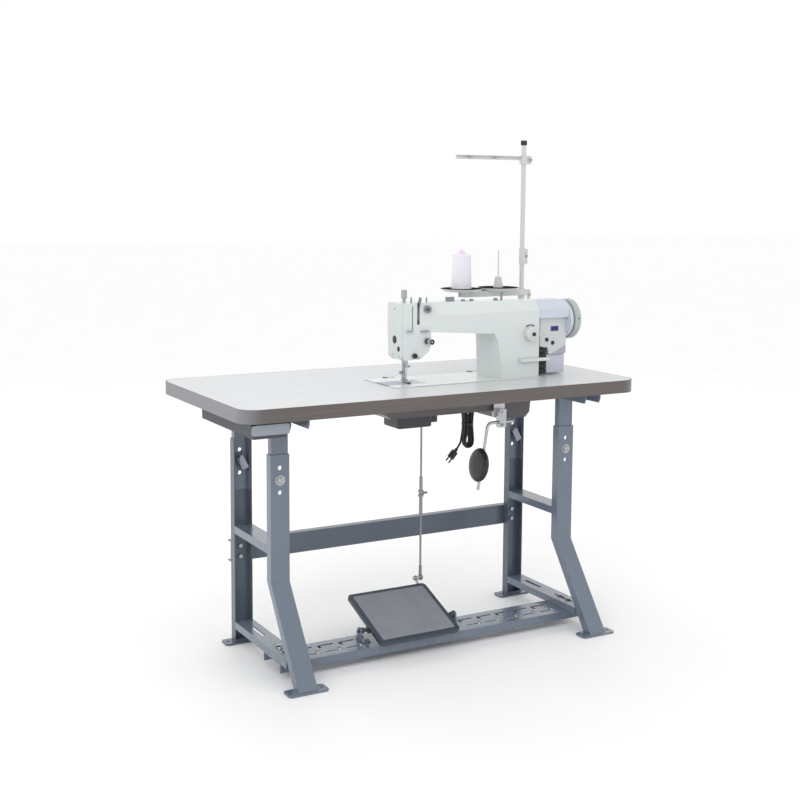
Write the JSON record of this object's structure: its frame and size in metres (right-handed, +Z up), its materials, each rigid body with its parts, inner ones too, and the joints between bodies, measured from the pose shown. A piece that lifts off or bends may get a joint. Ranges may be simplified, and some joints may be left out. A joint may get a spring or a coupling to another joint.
{
  "type": "industrial sewing machine on a treadle stand",
  "caption": "Lockstitch sewing machine head set in a work table on a height-adjustable steel stand, with treadle, knee lifter, drawer and thread stand.",
  "frame": {"origin": "on the floor under the middle of the object's footprint", "axes": "+X to the operator's right along the table, +Y away from the operator, +Z up"},
  "size_m": [1.2, 0.645, 1.396],
  "materials": {
    "stand_paint": "semi-gloss slate powder coat",
    "zinc": "zinc plated, slightly dull",
    "pedal_paint": "grey powder coat",
    "pedal_mat": "ribbed, matt",
    "laminate": "white-grey laminate over board, satin",
    "band": "smooth grey-brown edging",
    "drawer": "dark grey, lightly textured",
    "drawer_front": "light grey, satin",
    "pan": "grey-brown hammered paint",
    "dark_plastic": "dark lilac-grey, satin",
    "black_plastic": "black, satin",
    "black_rubber": "black, matt",
    "black_paint": "black, semi-gloss",
    "cord": "black PVC sheath",
    "white_metal": "white enamel",
    "head_paint": "white enamel, gloss",
    "face": "pale lilac-grey, satin",
    "lilac": "pale lilac-grey moulding",
    "panel": "lilac-grey with a dark display",
    "steel": "ground steel",
    "chrome": "polished",
    "wheel": "grey-green, satin",
    "thread": "wound white thread",
    "belt": "black, matt"
  },
  "bodies": {
    "stand": {"front_leg_left": "stand_paint", "front_leg_right": "stand_paint", "rear_leg_left": "stand_paint", "rear_leg_right": "stand_paint", "leg_braces": "stand_paint", "rear_crossbar": "stand_paint", "pedal_rail": "stand_paint", "frame_bolts": "zinc", "pedal_brackets": "stand_paint"},
    "pedal": {"pedal_plate": "pedal_paint", "pedal_mat": "pedal_mat", "pedal_hook": "zinc"},
    "lower_link": {"lower_rod": "zinc"},
    "upper_link": {"upper_rod": "zinc"},
    "table": {"table_board": "laminate", "edge_band": "band", "inner_posts": "stand_paint", "top_channels": "stand_paint", "drawer_runners": "drawer", "oil_pan": "pan", "speed_unit": "dark_plastic", "knee_bracket": "zinc", "power_box": "black_plastic", "cord_hank": "cord", "power_cord": "cord", "power_plug": "black_plastic", "thread_pole": "white_metal", "spool_rail": "white_metal", "spool_holders": "white_metal", "bed_hinges": "black_paint"},
    "drawer": {"drawer_tray": "drawer", "drawer_front": "drawer_front"},
    "speed_arm": {"speed_lever": "zinc"},
    "knee_lifter": {"knee_rod": "zinc", "knee_pad": "black_rubber"},
    "head": {"bed_casting": "head_paint", "arm_casting": "head_paint", "face_plate": "face", "needle_plate": "steel", "motor_housing": "lilac", "control_panel": "panel", "control_box": "lilac", "thread_guides": "chrome", "timing_belt": "belt"},
    "slide": {"slide_plate": "face"},
    "drive": {"main_shaft": "steel", "handwheel": "wheel"},
    "hook": {"hook_shaft": "steel"},
    "needle": {"needle_bar": "chrome"},
    "presser": {"presser_bar": "steel"},
    "take_up": {"take_up_lever": "chrome"},
    "dial": {"stitch_dial": "panel"},
    "reverse_arm": {"reverse_lever": "head_paint"},
    "reverse_push": {"reverse_button": "black_plastic"},
    "tension": {"tension_knob": "chrome"},
    "pressure": {"pressure_knob": "chrome"},
    "speed_up": {"speed_up_button": "black_plastic"},
    "speed_down": {"speed_down_button": "black_plastic"},
    "spool": {"thread_cone": "thread"},
    "thread_arm": {"guide_arm": "white_metal"}
  },
  "joints": [
    {"name": "table_height", "type": "slide", "parent": "stand", "child": "table", "axis": [0, 0, 1], "range_m": [-0.032, 0.032]},
    {"name": "pedal_rock", "type": "hinge", "parent": "stand", "child": "pedal", "pos_m": [-0.07, -0.1425, 0.069], "axis": [1, 0, 0], "range_deg": [-5, 5], "stiffness_Nm_per_rad": 20, "springref_deg": 2.01},
    {"name": "rod_swing", "type": "hinge", "parent": "pedal", "child": "lower_link", "pos_m": [0.05, -0.0025, 0.14], "axis": [1, 0, 0], "range_deg": [-6, 6]},
    {"name": "rod_length", "type": "slide", "parent": "lower_link", "child": "upper_link", "axis": [0, 0, 1], "range_m": [-0.032, 0.032]},
    {"name": "speed_lever_swing", "type": "hinge", "parent": "table", "child": "speed_arm", "pos_m": [0.05, 0.0425, 0.6], "axis": [1, 0, 0], "range_deg": [-16, 16]},
    {"name": "drawer_slide", "type": "slide", "parent": "table", "child": "drawer", "axis": [0, -1, 0], "range_m": [0, 0.25]},
    {"name": "knee_lift", "type": "hinge", "parent": "table", "child": "knee_lifter", "pos_m": [0.222, -0.1425, 0.626], "axis": [0, -1, 0], "range_deg": [0, 20], "stiffness_Nm_per_rad": 2, "springref_deg": -17.19},
    {"name": "head_tilt", "type": "hinge", "parent": "table", "child": "head", "pos_m": [-0.02, 0.0615, 0.706], "axis": [-1, 0, 0], "range_deg": [0, 40]},
    {"name": "plate_slide", "type": "slide", "parent": "head", "child": "slide", "axis": [-1, 0, 0], "range_m": [0, 0.05]},
    {"name": "handwheel_turn", "type": "hinge", "parent": "head", "child": "drive", "pos_m": [0.5, -0.0515, 0.868], "axis": [1, 0, 0], "continuous": true},
    {"name": "hook_turn", "type": "hinge", "parent": "head", "child": "hook", "pos_m": [0.1, -0.0515, 0.672], "axis": [1, 0, 0], "continuous": true},
    {"name": "needle_stroke", "type": "slide", "parent": "head", "child": "needle", "axis": [0, 0, 1], "range_m": [-0.03, 0.004]},
    {"name": "presser_raise", "type": "slide", "parent": "head", "child": "presser", "axis": [0, 0, 1], "range_m": [0, 0.0131]},
    {"name": "take_up_swing", "type": "hinge", "parent": "head", "child": "take_up", "pos_m": [-0.02, -0.0755, 0.886], "axis": [1, 0, 0], "range_deg": [0, 50]},
    {"name": "stitch_dial_turn", "type": "hinge", "parent": "head", "child": "dial", "pos_m": [0.346, -0.1125, 0.835], "axis": [0, 1, 0], "range_deg": [-150, 150]},
    {"name": "reverse_press", "type": "hinge", "parent": "head", "child": "reverse_arm", "pos_m": [0.318, -0.1105, 0.761], "axis": [0, 1, 0], "range_deg": [0, 12], "stiffness_Nm_per_rad": 0.5, "springref_deg": -14.32},
    {"name": "reverse_push_in", "type": "slide", "parent": "head", "child": "reverse_push", "axis": [0, 1, 0], "range_m": [0, 0.002], "stiffness_N_per_m": 300, "springref_m": -0.003},
    {"name": "tension_turn", "type": "hinge", "parent": "head", "child": "tension", "pos_m": [0.008, -0.1175, 0.83], "axis": [0, 1, 0], "range_deg": [-180, 180]},
    {"name": "pressure_turn", "type": "hinge", "parent": "head", "child": "pressure", "pos_m": [-0.027, -0.0345, 0.95], "axis": [0, 0, 1], "range_deg": [-180, 180]},
    {"name": "speed_up_push", "type": "slide", "parent": "head", "child": "speed_up", "axis": [0, 1, 0], "range_m": [0, 0.0015], "stiffness_N_per_m": 300, "springref_m": -0.003},
    {"name": "speed_down_push", "type": "slide", "parent": "head", "child": "speed_down", "axis": [0, 1, 0], "range_m": [0, 0.0015], "stiffness_N_per_m": 300, "springref_m": -0.003},
    {"name": "cone_lift", "type": "slide", "parent": "table", "child": "spool", "axis": [0, 0, 1], "range_m": [0, 0.12]},
    {"name": "thread_arm_swing", "type": "hinge", "parent": "table", "child": "thread_arm", "pos_m": [0.543, 0.2275, 1.34], "axis": [0, 0, 1], "range_deg": [-90, 90]}
  ],
  "couplings": [
    {"joint": "rod_swing", "follows": "pedal_rock", "ratio": -1.154},
    {"joint": "speed_lever_swing", "follows": "pedal_rock", "ratio": -3.11},
    {"joint": "rod_length", "follows": "table_height", "ratio": 1},
    {"joint": "presser_raise", "follows": "knee_lift", "m_per_rad": 0.0372},
    {"joint": "hook_turn", "follows": "handwheel_turn", "ratio": 2}
  ]
}
